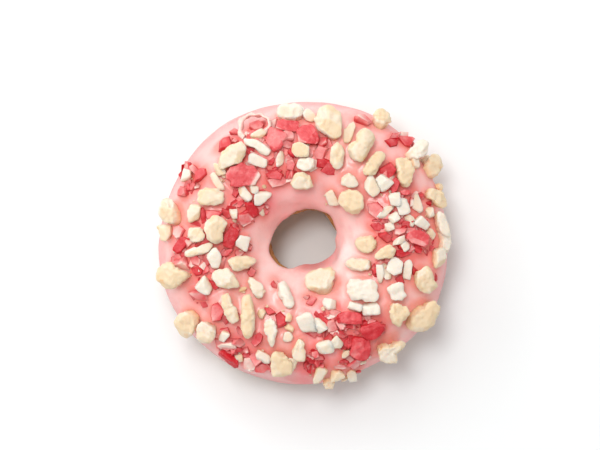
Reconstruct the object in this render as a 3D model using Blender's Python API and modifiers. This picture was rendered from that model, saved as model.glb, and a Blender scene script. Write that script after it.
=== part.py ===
"""Iced ring doughnut with chopped nuts and pink chocolate shards.

A fried dough ring stands on its flat underside. A poured icing coat covers its upper
half down to a wavy edge, and nut pieces and chocolate shards lie on the coat. Each is a
solid of its own, a hair's breadth clear of what it touches. Metres, +Z up, with the
origin on the ground under the middle of the whole doughnut.
"""

import math
import random

import bmesh
import bpy
import numpy as np
from mathutils import Matrix, Vector

MM = 0.001
GAP = 0.3 * MM

# The dough ring. A lobe is (order, size, angle of its peak in degrees).
RING_CENTRE = (-0.4 * MM, 1.0 * MM)
DOUGH_RADIUS = 43.65 * MM
DOUGH_LOBES = ((1, 0.4 * MM, -24), (2, 0.6 * MM, 17), (3, 0.2 * MM, -40), (4, 0.2 * MM, 50),
               (5, 0.37 * MM, 50))
THROAT_RADIUS = 10.0 * MM
THROAT_LOBES = ((1, 0.9 * MM, 10), (2, 0.7 * MM, 2), (3, 0.25 * MM, -39), (4, 0.25 * MM, -34))
EQUATOR = 14.0 * MM
CROWN = 16.0 * MM
BELLY = 15.6 * MM
SQUARENESS = 2.12
RING_STEPS = 60
SECTION_STEPS = 20

# The icing coat. Its edges are angles round the dough's section in degrees: 0 is the
# outside of the ring, 90 its top and 180 the narrowest place of the throat.
COAT = 1.3 * MM
COAT_GAP = 0.45 * MM
OUTER_EDGE = -16.0
OUTER_EDGE_LOBES = ((2, 3.0, 70), (5, 3.5, 20), (9, 2.5, 5), (14, 1.5, 12))
INNER_EDGE = 163.0
INNER_EDGE_LOBES = ((1, 9.0, -52), (2, 8.5, -51), (3, 2.0, 53))
COAT_STEPS = 11

# The toppings, placed from a mark near the middle of the hole. Each row, in millimetres
# and degrees: x, y, length, width, height, turn of the length from +X, and for a nut its
# taper, the share by which the far end of its length is narrower than its middle.
LAYOUT_ZERO = (0.1, 0.9)
NUTS = (
    (-22.8, 27.2, 10.4, 7.0, 5.0, 36, 0.10), (-14.8, 30.2, 10.6, 3.9, 3.2, -25, -0.20),
    (-4.8, 40.6, 8.6, 5.2, 4.0, 0, 0.00), (0.5, 24.2, 6.5, 4.4, 3.6, 0, 0.00),
    (-0.3, 19.2, 5.6, 8.2, 4.2, 90, 0.25), (7.6, 37.2, 12.0, 8.2, 5.2, -62, 0.35),
    (10.2, 26.9, 8.7, 5.4, 4.2, 80, 0.00), (17.7, 30.3, 12.0, 8.0, 5.2, 57, -0.10),
    (21.4, 24.2, 9.4, 4.8, 4.0, 52, 0.10), (24.2, 39.0, 6.4, 6.0, 4.2, 0, 0.00),
    (30.8, 21.7, 9.6, 5.6, 4.6, -75, 0.10), (35.4, 28.6, 8.2, 4.8, 4.2, 40, 0.10),
    (40.3, 24.2, 7.4, 6.0, 4.4, 60, -0.10), (13.8, 19.4, 6.4, 4.4, 3.2, -10, 0.20),
    (14.3, 12.8, 8.6, 7.4, 4.6, -25, 0.10), (-42.4, 9.7, 9.4, 6.2, 4.6, -72, 0.10),
    (-29.2, 14.2, 8.5, 5.2, 4.4, 0, 0.10), (-27.4, 4.2, 9.6, 7.4, 5.2, 68, -0.15),
    (-33.4, 2.6, 6.2, 5.0, 4.0, 0, 0.10), (-33.3, -2.3, 10.2, 3.0, 3.0, 17, 0.00),
    (-19.4, -6.0, 9.2, 4.7, 4.2, 0, 0.10), (7.8, -44.2, 3.8, 3.4, 3.0, 0, 0.00),
    (-41.0, -9.9, 11.2, 8.4, 5.2, -8, 0.00), (-24.7, -10.9, 9.4, 6.2, 4.6, -30, -0.15),
    (-23.3, -20.1, 9.8, 4.0, 3.6, -68, 0.00), (-17.6, -22.7, 14.5, 4.9, 4.4, 90, 0.05),
    (-15.0, -14.0, 7.8, 4.2, 3.4, -50, -0.15), (-36.9, -25.6, 8.8, 7.8, 5.0, -60, 0.10),
    (-30.3, -27.7, 8.0, 6.6, 4.6, -50, -0.20), (-10.3, -27.2, 9.4, 4.9, 3.4, -86, 0.45),
    (-5.9, -15.9, 8.8, 4.4, 3.6, -68, -0.10), (-1.9, -33.2, 7.6, 4.0, 3.6, 62, 0.15),
    (-8.0, -37.7, 8.3, 5.4, 4.4, 90, -0.05), (5.3, -11.5, 10.4, 7.0, 5.0, 12, 0.00),
    (18.9, -0.5, 7.8, 5.6, 4.4, -5, 0.10), (24.8, -2.9, 7.2, 4.6, 3.8, 22, -0.10),
    (16.3, -6.5, 8.7, 4.4, 3.8, -6, 0.00), (17.8, -14.4, 10.0, 7.0, 4.2, 0, -0.05),
    (28.6, -15.1, 5.8, 5.2, 3.6, -60, 0.00), (37.6, -11.5, 9.0, 6.8, 4.8, -65, -0.10),
    (29.0, -21.9, 7.8, 6.8, 4.6, -70, 0.40), (37.2, -23.2, 12.0, 7.6, 5.4, 42, 0.00),
    (26.6, -33.6, 8.2, 6.6, 4.8, 35, 0.00), (42.4, 6.3, 8.0, 3.8, 3.4, -75, 0.00),
    (44.1, 0.4, 7.0, 3.8, 3.4, -78, 0.00), (40.8, 14.0, 8.2, 4.8, 3.8, -38, 0.10),
)
SHARDS = (
    (-19.3, 20.9, 9.6, 6.8, 2.4, 5), (-15.3, 36.6, 9.0, 7.6, 2.8, 10),
    (-9.6, 33.0, 6.5, 5.6, 2.4, 15), (-5.2, 36.3, 7.5, 3.2, 2.2, -5),
    (1.6, 33.4, 7.0, 6.2, 2.6, 10), (-38.4, -0.6, 6.5, 2.6, 2.2, 50),
    (-22.6, 1.6, 6.5, 3.6, 2.4, 75), (-23.5, -36.0, 7.0, 3.6, 2.4, -30),
    (14.3, -23.3, 8.0, 3.4, 2.4, 0), (21.0, -27.2, 6.5, 4.6, 2.6, 15),
    (17.3, -32.8, 6.8, 5.6, 2.4, 80), (35.3, 1.4, 6.8, 4.2, 2.4, -15),
)
SEED = 11
LEAN = 7.0
STEEPEST_SEAT = 0.97
SMALL_TURN = 0.01
DIRECTIONS = 90
SHORTEST_EDGE = 0.6 * MM
SHARP_ANGLE = 35.0

# How the blanks are broken. A cut lies at a share of the way to the blank's own reach, and
# its rise is how far it leans upwards.
BASE_SHARE = 0.35
NUT_SQUARENESS = 2.8
NUT_CUTS = (2, 3)
NUT_CUT_SHARES = (0.84, 0.93)
NUT_CUT_RISES = (0.1, 0.9)
SHARD_CORNERS = 4
SHARD_CORNER_SPREAD = (0.25, 0.75)
SHARD_CUT_SHARES = (0.68, 0.86)
SHARD_CUT_RISES = (-0.3, 0.5)
SHARD_TOP_SHARE = 0.42
SHARD_TOP_SLOPE = 0.25

# Colours as red, green, blue out of 255, then roughness.
CRUST = (176, 112, 62, 0.62)
ICING = (247, 198, 190, 0.32)
NUT = (245, 230, 198, 0.55)
PINK_CHOCOLATE = (231, 108, 114, 0.38)


def clear_scene():
    """Remove whatever the scene holds."""
    for thing in list(bpy.data.objects):
        bpy.data.objects.remove(thing, do_unlink=True)


def make_material(name, finish):
    """A plain Principled finish from a colour out of 255 and a roughness."""
    red, green, blue, roughness = finish
    linear = [((c / 255 + 0.055) / 1.055) ** 2.4 for c in (red, green, blue)]
    material = bpy.data.materials.new(name)
    material.use_nodes = True
    shader = material.node_tree.nodes["Principled BSDF"]
    shader.inputs["Base Color"].default_value = (*linear, 1.0)
    shader.inputs["Roughness"].default_value = roughness
    shader.inputs["Metallic"].default_value = 0.0
    return material


def lobed(angle, mean, lobes):
    """The mean plus, for each lobe, its size times the cosine of its order of turns."""
    total = np.full_like(angle, mean)
    for order, size, peak in lobes:
        total += size * np.cos(order * (angle - math.radians(peak)))
    return total


def ring_section(around):
    """Radius of the section's middle, and half its width, at an angle round the ring."""
    outer = lobed(around, DOUGH_RADIUS, DOUGH_LOBES)
    inner = lobed(around, THROAT_RADIUS, THROAT_LOBES)
    return (outer + inner) / 2, (outer - inner) / 2


def reach(around, turn, lift):
    """From the section's middle to its skin: a rounded square, taller above than below."""
    half = ring_section(around)[1] + lift
    tall = np.where(np.sin(turn) > 0, CROWN, BELLY) + lift
    wide = np.abs(np.cos(turn) / half) ** SQUARENESS
    high = np.abs(np.sin(turn) / tall) ** SQUARENESS
    return (wide + high) ** (-1 / SQUARENESS)


def skin(around, turn, lift):
    """Points on the ring's skin, pushed out by lift: round the ring, and round its section."""
    middle = ring_section(around)[0]
    away = reach(around, turn, lift)
    radius = middle + away * np.cos(turn)
    x = RING_CENTRE[0] + radius * np.cos(around)
    y = RING_CENTRE[1] + radius * np.sin(around)
    return np.stack([x, y, EQUATOR + away * np.sin(turn)], axis=-1)


def clearance(points, lift):
    """How far points stand outside the skin that is pushed out by lift."""
    x = points[:, 0] - RING_CENTRE[0]
    y = points[:, 1] - RING_CENTRE[1]
    around = np.arctan2(y, x)
    sideways = np.hypot(x, y) - ring_section(around)[0]
    upwards = points[:, 2] - EQUATOR
    turn = np.arctan2(upwards, sideways)
    return np.hypot(sideways, upwards) - reach(around, turn, lift)


def mesh_points(mesh):
    """The mesh's points as rows of an array."""
    flat = np.empty(len(mesh.vertices) * 3)
    mesh.vertices.foreach_get("co", flat)
    return flat.reshape(-1, 3)


def finish_object(body, name, material, collection):
    """Name a body, give it its material, and keep it in the doughnut's collection."""
    body.name = name
    body.data.name = name
    body.data.materials.clear()
    body.data.materials.append(material)
    for holder in list(body.users_collection):
        holder.objects.unlink(body)
    collection.objects.link(body)
    body.data.shade_smooth()


def make_dough(material, collection):
    """A torus whose points move out to the skin, pressed flat where it stands."""
    major = 2.0
    minor = 1.0
    bpy.ops.mesh.primitive_torus_add(major_segments=RING_STEPS, minor_segments=SECTION_STEPS,
                                     major_radius=major, minor_radius=minor)
    body = bpy.context.active_object
    points = mesh_points(body.data)
    around = np.arctan2(points[:, 1], points[:, 0])
    turn = np.arctan2(points[:, 2], np.hypot(points[:, 0], points[:, 1]) - major)
    shaped = skin(around, turn, 0.0)
    shaped[:, 2] = np.maximum(shaped[:, 2], 0.0)
    body.data.vertices.foreach_set("co", shaped.ravel())
    body.data.update()
    finish_object(body, "dough", material, collection)


def make_icing(material, collection):
    """A grid wrapped over the ring between its two wavy edges, and thickened outwards."""
    bpy.ops.mesh.primitive_grid_add(x_subdivisions=RING_STEPS, y_subdivisions=COAT_STEPS, size=1.0)
    body = bpy.context.active_object
    points = mesh_points(body.data)
    around = (points[:, 0] + 0.5) * math.tau
    start = np.radians(lobed(around, OUTER_EDGE, OUTER_EDGE_LOBES))
    end = np.radians(lobed(around, INNER_EDGE, INNER_EDGE_LOBES))
    turn = start + (points[:, 1] + 0.5) * (end - start)
    body.data.vertices.foreach_set("co", skin(around, turn, COAT_GAP).ravel())
    work = bmesh.new()
    work.from_mesh(body.data)
    bmesh.ops.remove_doubles(work, verts=work.verts, dist=COAT_GAP / 10)
    bmesh.ops.recalc_face_normals(work, faces=work.faces)
    top = max(work.faces, key=lambda face: face.calc_center_median().z)
    if top.normal.z < 0:
        bmesh.ops.reverse_faces(work, faces=work.faces)
    work.to_mesh(body.data)
    work.free()
    coat = body.modifiers.new("coat", "SOLIDIFY")
    coat.thickness = COAT
    coat.offset = 1.0
    coat.use_even_offset = True
    finish_object(body, "icing", material, collection)


def cut(work, point, normal):
    """Cut away what lies beyond a plane, and close the cut."""
    everything = work.verts[:] + work.edges[:] + work.faces[:]
    bmesh.ops.bisect_plane(work, geom=everything, plane_co=point, plane_no=normal, clear_outer=True)
    rim = [edge for edge in work.edges if edge.is_boundary]
    if rim:
        bmesh.ops.edgeloop_fill(work, edges=rim)


def break_off(work, bearing, rises, shares, dice):
    """Cut a blank's side away, facing a bearing, at some share of the way to its reach."""
    facing = Vector((math.cos(bearing), math.sin(bearing), dice.uniform(*rises))).normalized()
    furthest = max(facing.dot(vert.co) for vert in work.verts)
    cut(work, facing * furthest * dice.uniform(*shares), facing)


def nut_blank(length, width, height, taper, dice):
    """A rounded block, narrower by its taper at one end, with a flat base and broken sides."""
    work = bmesh.new()
    bmesh.ops.create_icosphere(work, subdivisions=2, radius=1.0)
    bmesh.ops.rotate(work, verts=work.verts, matrix=Matrix.Rotation(dice.uniform(0, 3), 3, "Z"))
    for vert in work.verts:
        fullness = sum(abs(value) ** NUT_SQUARENESS for value in vert.co) ** (-1 / NUT_SQUARENESS)
        vert.co *= fullness
        vert.co.y *= 1 - taper * vert.co.x
    tall = height / (1 + BASE_SHARE)
    bmesh.ops.scale(work, verts=work.verts, vec=(length / 2, width / 2, tall))
    cut(work, (0, 0, -BASE_SHARE * tall), (0, 0, -1))
    for side in range(dice.choice(NUT_CUTS)):
        break_off(work, dice.uniform(0, math.tau), NUT_CUT_RISES, NUT_CUT_SHARES, dice)
    return work


def shard_blank(length, width, height, dice):
    """A flat slab with slanting broken edges and two snapped corners."""
    work = bmesh.new()
    bmesh.ops.create_cube(work, size=1.0)
    bmesh.ops.scale(work, verts=work.verts, vec=(length, width, height))
    for corner in range(SHARD_CORNERS):
        bearing = (corner + dice.uniform(*SHARD_CORNER_SPREAD)) * math.tau / SHARD_CORNERS
        break_off(work, bearing, SHARD_CUT_RISES, SHARD_CUT_SHARES, dice)
    tilt = [dice.uniform(-SHARD_TOP_SLOPE, SHARD_TOP_SLOPE) for axis in range(2)]
    cut(work, (0, 0, height * SHARD_TOP_SHARE), Vector((*tilt, 1.0)).normalized())
    return work


def settle(work, row):
    """Lay a blank on the coat where its row says, just clear of it."""
    x, y, _, _, height, heading = row[:6]
    x = (x + LAYOUT_ZERO[0]) * MM - RING_CENTRE[0]
    y = (y + LAYOUT_ZERO[1]) * MM - RING_CENTRE[1]
    around = np.array([math.atan2(y, x)])
    middle, half = (float(value[0]) for value in ring_section(around))
    lift = COAT_GAP + COAT + GAP
    share = (math.hypot(x, y) - middle) / (half + lift + height * MM / 2)
    turn = np.array([math.acos(max(-STEEPEST_SEAT, min(STEEPEST_SEAT, share)))])
    here = Vector(skin(around, turn, lift)[0])
    along = Vector(skin(around + SMALL_TURN, turn, lift)[0]) - here
    inward = Vector(skin(around, turn + SMALL_TURN, lift)[0]) - here
    up = along.cross(inward).normalized()
    if up.z < 0:
        up.negate()
    aim = Vector((math.cos(math.radians(heading)), math.sin(math.radians(heading)), 0))
    front = (aim - aim.dot(up) * up).normalized()
    side = up.cross(front)
    frame = Matrix((front, side, up)).transposed().to_4x4()
    lowest = min(vert.co.z for vert in work.verts)
    frame.translation = here - up * lowest
    bmesh.ops.transform(work, matrix=frame, verts=work.verts)
    points = np.array([vert.co for vert in work.verts] + [face.calc_center_median() for face in work.faces])
    short = -clearance(points, lift).min()
    if short > 0:
        bmesh.ops.translate(work, verts=work.verts, vec=up * short)


def spread_directions():
    """Directions spaced evenly over a sphere, on a golden spiral."""
    index = np.arange(DIRECTIONS) + 0.5
    height = 1 - 2 * index / DIRECTIONS
    bearing = index * math.pi * (3 - math.sqrt(5))
    flat = np.sqrt(1 - height ** 2)
    return np.stack([flat * np.cos(bearing), flat * np.sin(bearing), height], axis=1)


def part_neighbours(pieces):
    """Where two toppings meet, cut both along the plane that costs them least."""
    directions = spread_directions()
    for second in range(len(pieces)):
        for first in range(second):
            ours = np.array([vert.co for vert in pieces[first].verts])
            theirs = np.array([vert.co for vert in pieces[second].verts])
            far = (ours @ directions.T).max(axis=0)
            near = (theirs @ directions.T).min(axis=0)
            best = int(np.argmin(far - near))
            if far[best] - near[best] < -GAP:
                continue
            normal = Vector(directions[best])
            middle = (far[best] + near[best]) / 2
            cut(pieces[first], normal * (middle - GAP / 2), normal)
            cut(pieces[second], normal * (middle + GAP / 2), -normal)


def close_topping(work, name, material, collection):
    """Drop edges too short to matter, and wrap what is left in its convex hull."""
    bmesh.ops.remove_doubles(work, verts=work.verts, dist=SHORTEST_EDGE)
    bmesh.ops.delete(work, geom=work.edges[:], context="EDGES_FACES")
    wrapped = bmesh.ops.convex_hull(work, input=work.verts)
    loose = {item for item in wrapped["geom_interior"] + wrapped["geom_unused"]
             if isinstance(item, bmesh.types.BMVert)}
    bmesh.ops.delete(work, geom=list(loose), context="VERTS")
    bmesh.ops.recalc_face_normals(work, faces=work.faces)
    mesh = bpy.data.meshes.new(name)
    work.to_mesh(mesh)
    work.free()
    body = bpy.data.objects.new(name, mesh)
    finish_object(body, name, material, collection)
    body.data.set_sharp_from_angle(angle=math.radians(SHARP_ANGLE))


def make_toppings(nut, chocolate, collection):
    """Shape, settle and part all nuts and shards, then close each as a solid."""
    dice = random.Random(SEED)
    pieces = []
    labels = []
    for kind, rows, blank, material in (("nut", NUTS, nut_blank, nut),
                                        ("shard", SHARDS, shard_blank, chocolate)):
        for number, row in enumerate(rows, start=1):
            length, width, height = (size * MM for size in row[2:5])
            work = blank(length, width, height, *row[6:], dice)
            tip = math.radians(dice.uniform(-LEAN, LEAN))
            bmesh.ops.rotate(work, verts=work.verts, matrix=Matrix.Rotation(tip, 3, "X"))
            settle(work, row)
            pieces.append(work)
            labels.append((f"{kind}_{number:02d}", material))
    part_neighbours(pieces)
    for work, (name, material) in zip(pieces, labels):
        close_topping(work, name, material, collection)


def main():
    clear_scene()
    collection = bpy.data.collections.new("iced_ring_doughnut")
    bpy.context.scene.collection.children.link(collection)
    make_dough(make_material("crust", CRUST), collection)
    make_icing(make_material("icing", ICING), collection)
    nut = make_material("nut", NUT)
    chocolate = make_material("pink chocolate", PINK_CHOCOLATE)
    make_toppings(nut, chocolate, collection)


main()
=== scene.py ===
"""The looks of an iced ring doughnut with chopped nuts and pink chocolate shards.

The fine crust, icing coat, nuts and shards stand for the plain solids of the frame. Smaller
chips and crumbs lie between them. All sizes are in metres, by way of MM.
"""

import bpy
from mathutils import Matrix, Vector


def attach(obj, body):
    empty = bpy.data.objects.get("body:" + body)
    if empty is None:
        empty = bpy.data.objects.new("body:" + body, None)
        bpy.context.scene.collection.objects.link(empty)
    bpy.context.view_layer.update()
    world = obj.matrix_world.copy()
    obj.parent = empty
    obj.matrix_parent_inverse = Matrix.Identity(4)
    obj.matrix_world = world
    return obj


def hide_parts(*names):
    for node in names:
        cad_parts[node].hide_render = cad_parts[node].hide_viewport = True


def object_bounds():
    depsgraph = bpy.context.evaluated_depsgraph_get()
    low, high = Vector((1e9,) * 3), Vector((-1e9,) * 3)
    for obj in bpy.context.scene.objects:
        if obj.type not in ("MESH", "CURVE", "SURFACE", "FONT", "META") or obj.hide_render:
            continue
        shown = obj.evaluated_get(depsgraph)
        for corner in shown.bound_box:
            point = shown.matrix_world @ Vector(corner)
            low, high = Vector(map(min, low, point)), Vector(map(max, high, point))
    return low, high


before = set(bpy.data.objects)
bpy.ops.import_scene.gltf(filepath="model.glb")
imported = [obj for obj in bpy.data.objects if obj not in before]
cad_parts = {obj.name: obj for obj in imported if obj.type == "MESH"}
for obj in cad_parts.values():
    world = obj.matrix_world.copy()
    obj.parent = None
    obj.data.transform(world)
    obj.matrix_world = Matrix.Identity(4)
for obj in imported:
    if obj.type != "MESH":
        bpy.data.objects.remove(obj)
cad_box = [list(corner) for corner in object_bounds()]

import math

import bpy
import numpy as np
from mathutils import Vector

MM = 0.001
TURN = math.tau
SEED = 7

# The box of the frame's solids, which nothing passes, and the hair's breadth that is kept
# inside it everywhere but underneath.
BOX = np.array(cad_box)
HAIR = np.array([0.02, 0.02, 0.0]) * MM

# How far above the coat the painted shade at a topping's foot reaches, and that at a nut's.
FOOT_SHADE_REACH = 1.3 * MM
NUT_SHADE_REACH = 2.8 * MM

# The ring that the part is built on, at the height EQUATOR where it is widest, with its reach
# above and below that. A lobe is (order, size, angle of its peak in degrees).
RING_CENTRE = (-0.4 * MM, 1.0 * MM)
DOUGH_RADIUS = 43.65 * MM
DOUGH_LOBES = ((1, 0.4 * MM, -24), (2, 0.6 * MM, 17), (3, 0.2 * MM, -40), (4, 0.2 * MM, 50),
               (5, 0.37 * MM, 50))
THROAT_RADIUS = 10.0 * MM
THROAT_LOBES = ((1, 0.9 * MM, 10), (2, 0.7 * MM, 2), (3, 0.25 * MM, -39), (4, 0.25 * MM, -34))
EQUATOR = 14.0 * MM
CROWN = 16.0 * MM
BELLY = 15.6 * MM
SQUARENESS = 2.12

# The icing coat: its thickness over the crust, how far in its edges are rounded, and its two
# edges, as angles in degrees round the ring's section, where 0 is the outside, 90 the top and
# 180 the throat.
COAT = 1.7 * MM
EDGE_ROUND = 1.9 * MM
OUTER_EDGE = -16.0
OUTER_EDGE_LOBES = ((2, 3.0, 70), (5, 3.5, 20), (9, 2.5, 5), (14, 1.5, 12))
INNER_EDGE = 163.0
INNER_EDGE_LOBES = ((1, 9.0, -52), (2, 8.5, -51), (3, 2.0, 53))

# Where the coat draws back a little further at the throat: bearing, spread and how far, in
# degrees.
DRAWN_BACK = ((214, 30, 2), (105, 22, 3), (30, 14, 1))

# The small toppings, placed from a mark near the middle of the hole. Each row, in millimetres
# and degrees: x, y, length, width, turn of the length from +X, and tone. A nut's tone runs
# from 0, golden, to 1, white. A shard's runs from 0, cream, by way of pink to 1, deep red.
LAYOUT_ZERO = (0.1, 0.9)
NUT_CHIPS = (
    (-26, 22.6, 3.4, 3, 0, 0.6), (-27.2, 18.6, 7, 2, -55, 0.8), (-36.8, 21, 3.6, 3.4, 0, 0.9),
    (-14, 25.2, 6.2, 2.6, -20, 0.9), (-14, 33.9, 4.6, 2.4, 30, 0.4), (-7.5, 25.7, 5.8, 1.8, 85, 0.8),
    (1.2, 39.7, 4.6, 3, -60, 0.9), (-0.6, 28.4, 5.4, 4.2, 0, 0.4), (14, 33.7, 7.4, 2.2, 62, 0.5),
    (24.9, 18.6, 4.6, 4.4, -45, 1), (34.4, 24.8, 4, 2.4, 80, 0.6), (38.6, 26.3, 3.6, 2.4, 40, 0.8),
    (20.9, 17.3, 5.6, 4.2, -55, 0.6), (8.3, 13.7, 5, 3.2, -65, 0.7), (-43.1, 3.4, 4.8, 3.6, -75, 0.4),
    (-34.6, 9.8, 5, 3.8, 85, 0.3), (-21.6, 9, 2.8, 2.8, 0, 0.9), (-27.6, -4.8, 5.4, 3.8, -60, 1),
    (-18.4, 0.1, 4.7, 4.2, 80, 1), (-13.2, 13.6, 5.4, 2.9, 60, 1), (-12.9, 9.4, 3, 1.4, -75, 0.9),
    (-15.6, 16.2, 2.6, 2.4, 0, 1), (-18, 14.8, 5.4, 2.6, -50, 1), (-31.4, -13.2, 5.4, 4.2, -50, 1),
    (-18.8, -14.3, 2.3, 1.3, 10, 0.2), (-12.9, -21.6, 3.2, 2.6, 60, 0.3),
    (-25.3, -29.4, 4.8, 2.2, 35, 0.8), (-20.4, -36.2, 2.8, 2.2, -70, 0.6),
    (-13.4, -35.8, 5.2, 2.9, -40, 0.8), (-4.9, -22.8, 2.6, 1.9, 80, 0.5), (-4.7, -26.3, 3, 2, -30, 0.3),
    (-5.2, -29.2, 3.4, 2.6, 10, 0.9), (-4.4, -38, 4.6, 3.2, 80, 0.5), (0, -24, 5.6, 4.2, -70, 1),
    (4.3, -25.5, 4.8, 3.2, -60, 0.9), (7.6, -18.8, 4, 3.2, 0, 1), (15.3, -19.6, 5, 3, -20, 0.9),
    (20.6, -20.8, 5.4, 4.4, 15, 1), (5.9, -32.3, 4.4, 3.6, 15, 1), (10, -31.6, 3.6, 3.4, -40, 0.5),
    (12.8, -34.7, 2.3, 1.8, 0, 0.8), (18.3, -37, 2.4, 1.6, 60, 0.7), (4.6, -41.5, 5.6, 3.4, 75, 0.3),
    (10.4, -41.6, 4.4, 3.6, 0, 0.3), (14.8, -41.3, 5.2, 2.4, -70, 0.8), (12.9, -43.8, 2.2, 1.4, 0, 0.8),
    (23.3, -9.2, 6.8, 2, -83, 1), (25.4, -8.9, 5, 2, -75, 0.9), (28.3, -8.1, 4.6, 4, 60, 1),
    (32.2, -8.6, 6.8, 2.5, 82, 1), (27.8, 13.8, 3.8, 4.2, 0, 0.9), (30.7, 11.4, 4.2, 3.6, -70, 1),
    (35.2, 12.7, 7.6, 1.3, -80, 1), (25, 9.3, 6, 2.4, 48, 0.9), (27.6, 7.5, 3.4, 3.2, -60, 1),
    (26, 5, 3.2, 2.2, 15, 1), (32.8, 6.9, 3.6, 2.2, -65, 0.8), (36.5, 6.3, 6, 2.8, -35, 1),
    (39, 2.8, 3.8, 1.7, -50, 0.6), (39.2, 9.4, 3.2, 2.6, -80, 1), (42, -4.6, 6.2, 4, -80, 0.4),
    (42.2, 17.3, 3, 2.4, -20, 0.2), (29.2, 0.6, 4.2, 2, 15, 1), (31, -0.7, 3.2, 2.2, -55, 1),
)
SHARD_CHIPS = (
    (-15.4, 36.6, 4.8, 3.4, 25, 0.5), (-25.6, 30.8, 5.4, 4.2, 45, 0.8), (-21.6, 31.9, 2, 1.4, 20, 0.3),
    (-32.6, 21, 5.6, 3.2, 52, 0.85), (-34.2, 22.8, 3.6, 2.2, -40, 0.4), (-36, 17, 2.6, 1.8, -80, 0.7),
    (-37.6, 15.6, 5, 3.8, -10, 0.5), (-6, 33, 5, 4, 20, 0.28), (-9, 20.6, 6, 3, 0, 0.75),
    (-8.8, 18.6, 6.6, 3.2, 0, 0.45), (-4.3, 24.2, 3.6, 3.2, 80, 0.6), (5.2, 28.3, 5, 3.8, 60, 0.55),
    (5.4, 24.6, 4.4, 3.2, 20, 1.05), (18.4, 38.2, 5.4, 3.6, -20, 0.42), (31.6, 31.6, 6, 4.6, 10, 0.68),
    (28.2, 33.2, 4.2, 1.8, 30, 0.45), (26.4, 22.9, 5.4, 4.4, 20, 0.95), (28.3, 18, 5.2, 3, 80, 1.05),
    (-28.4, 8.8, 5.6, 3.6, 5, 0.7), (-39.2, 3.2, 4.2, 4, 20, 0.42), (-38, -6, 5.4, 4.2, -20, 0.3),
    (-34, -5.6, 4.2, 3.2, 0, 0.45), (-33.2, -8.6, 4.6, 3, 10, 1.05), (-30.6, -8.4, 3, 2, 60, 0.7),
    (-23.5, -3, 4.2, 2.2, 50, 0.55), (-18.3, 7.4, 5.6, 4.6, 10, 0.5), (-16.2, 10.6, 5.8, 3.4, -55, 1.15),
    (-19.6, 11.8, 3, 2, 40, 0.8), (-15.8, -8.8, 3.2, 2.4, 60, 0.6), (-33.4, -16.2, 6.6, 4, -20, 0.6),
    (-27.4, -21.4, 6.4, 4.6, 70, 0.78), (-24.2, -32, 7, 3.4, 22, 0.2), (-14.6, -30.4, 4.6, 3.4, 35, 0.7),
    (-10.6, -21, 4.2, 2.2, -25, 0.85), (-7.2, -24.2, 5.2, 3.2, -75, 0.95),
    (-21.3, -33.5, 5.2, 2, 8, 0.95), (-17.2, -37.6, 5.2, 4.4, 80, 0.3), (-13.6, -39, 5.4, 3.8, -10, 0.62),
    (2, -17.4, 3.4, 2.8, 60, 0.6), (0.6, -16.4, 2, 1.4, 0, 0.3), (-9, -12.6, 3, 1.6, -60, 0.7),
    (9.3, -21.3, 4.6, 2.2, -20, 0.35), (8, -22.9, 3, 1.8, 10, 0.05), (8.2, -25.6, 4.4, 3.4, -60, 0.5),
    (11, -25.4, 4.2, 3.2, -55, 0.3), (11.6, -22.9, 3.6, 1.8, 10, 0.95), (16.8, -22.3, 3.2, 1.6, -15, 0.9),
    (9.2, -28.2, 3.4, 1.8, -70, 0.25), (14.3, -25.9, 4.6, 1.8, -5, 0.95), (18.3, -25, 3, 2.6, 70, 1),
    (20.8, -24.6, 4, 1.8, 10, 0.45), (24, -26.5, 3, 2.6, -30, 0.8), (13.3, -31, 3.6, 2.2, 80, 0.9),
    (17.2, -30.2, 3.8, 1.4, 10, 0.15), (19.4, -35.6, 3, 1.6, 60, 0.3), (11.5, -38.6, 5, 1.8, -5, 0.4),
    (12.2, -37, 3.4, 1.4, 0, 0.95), (3.4, -34.8, 3.4, 2.6, -40, 0.6), (2.4, -36.8, 4.4, 2.4, -20, 1),
    (2.2, -39, 3.4, 1.8, -25, 0.4), (5, -38.4, 3, 1.6, 10, 0.6), (16.6, -40.2, 2.2, 1.8, 60, 0.8),
    (35.2, -2, 3.8, 2.4, -60, 0.9), (29.4, 3.6, 4.6, 2.8, 10, 0.45), (24.8, 2, 5, 3.4, -30, 0.75),
    (22, 5.2, 3.8, 2.8, 0, 0.9), (30.2, -3.1, 4.8, 2.6, 10, 1.05), (21.3, -8.6, 5, 1.6, -80, 0.8),
    (33.4, -1.9, 3.2, 1.4, -80, 0.15), (-3.9, 27.6, 3.6, 2.6, 80, 1.05), (-16.7, 28.2, 3, 2.4, -60, 1.05),
    (-10.2, 24.9, 2.8, 2, 80, 1.05), (-9.3, 21.9, 5.2, 1.6, 0, 1.05), (-28.2, -12.8, 4.2, 2.4, -40, 1),
    (21.4, 10.4, 6.6, 4.4, -35, 0.5), (38.2, -0.2, 2.4, 1.2, 50, 0.35), (31, 15.4, 3, 2.2, 0, 0.7),
    (33.2, 12.5, 3.2, 1.6, 80, 0.3), (40.6, -10.6, 2.8, 1.2, -70, 0.95), (-31.4, 8.4, 5.2, 2, -80, 1.1),
    (-33.8, 6, 4.8, 1.8, -15, 1),
)

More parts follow.
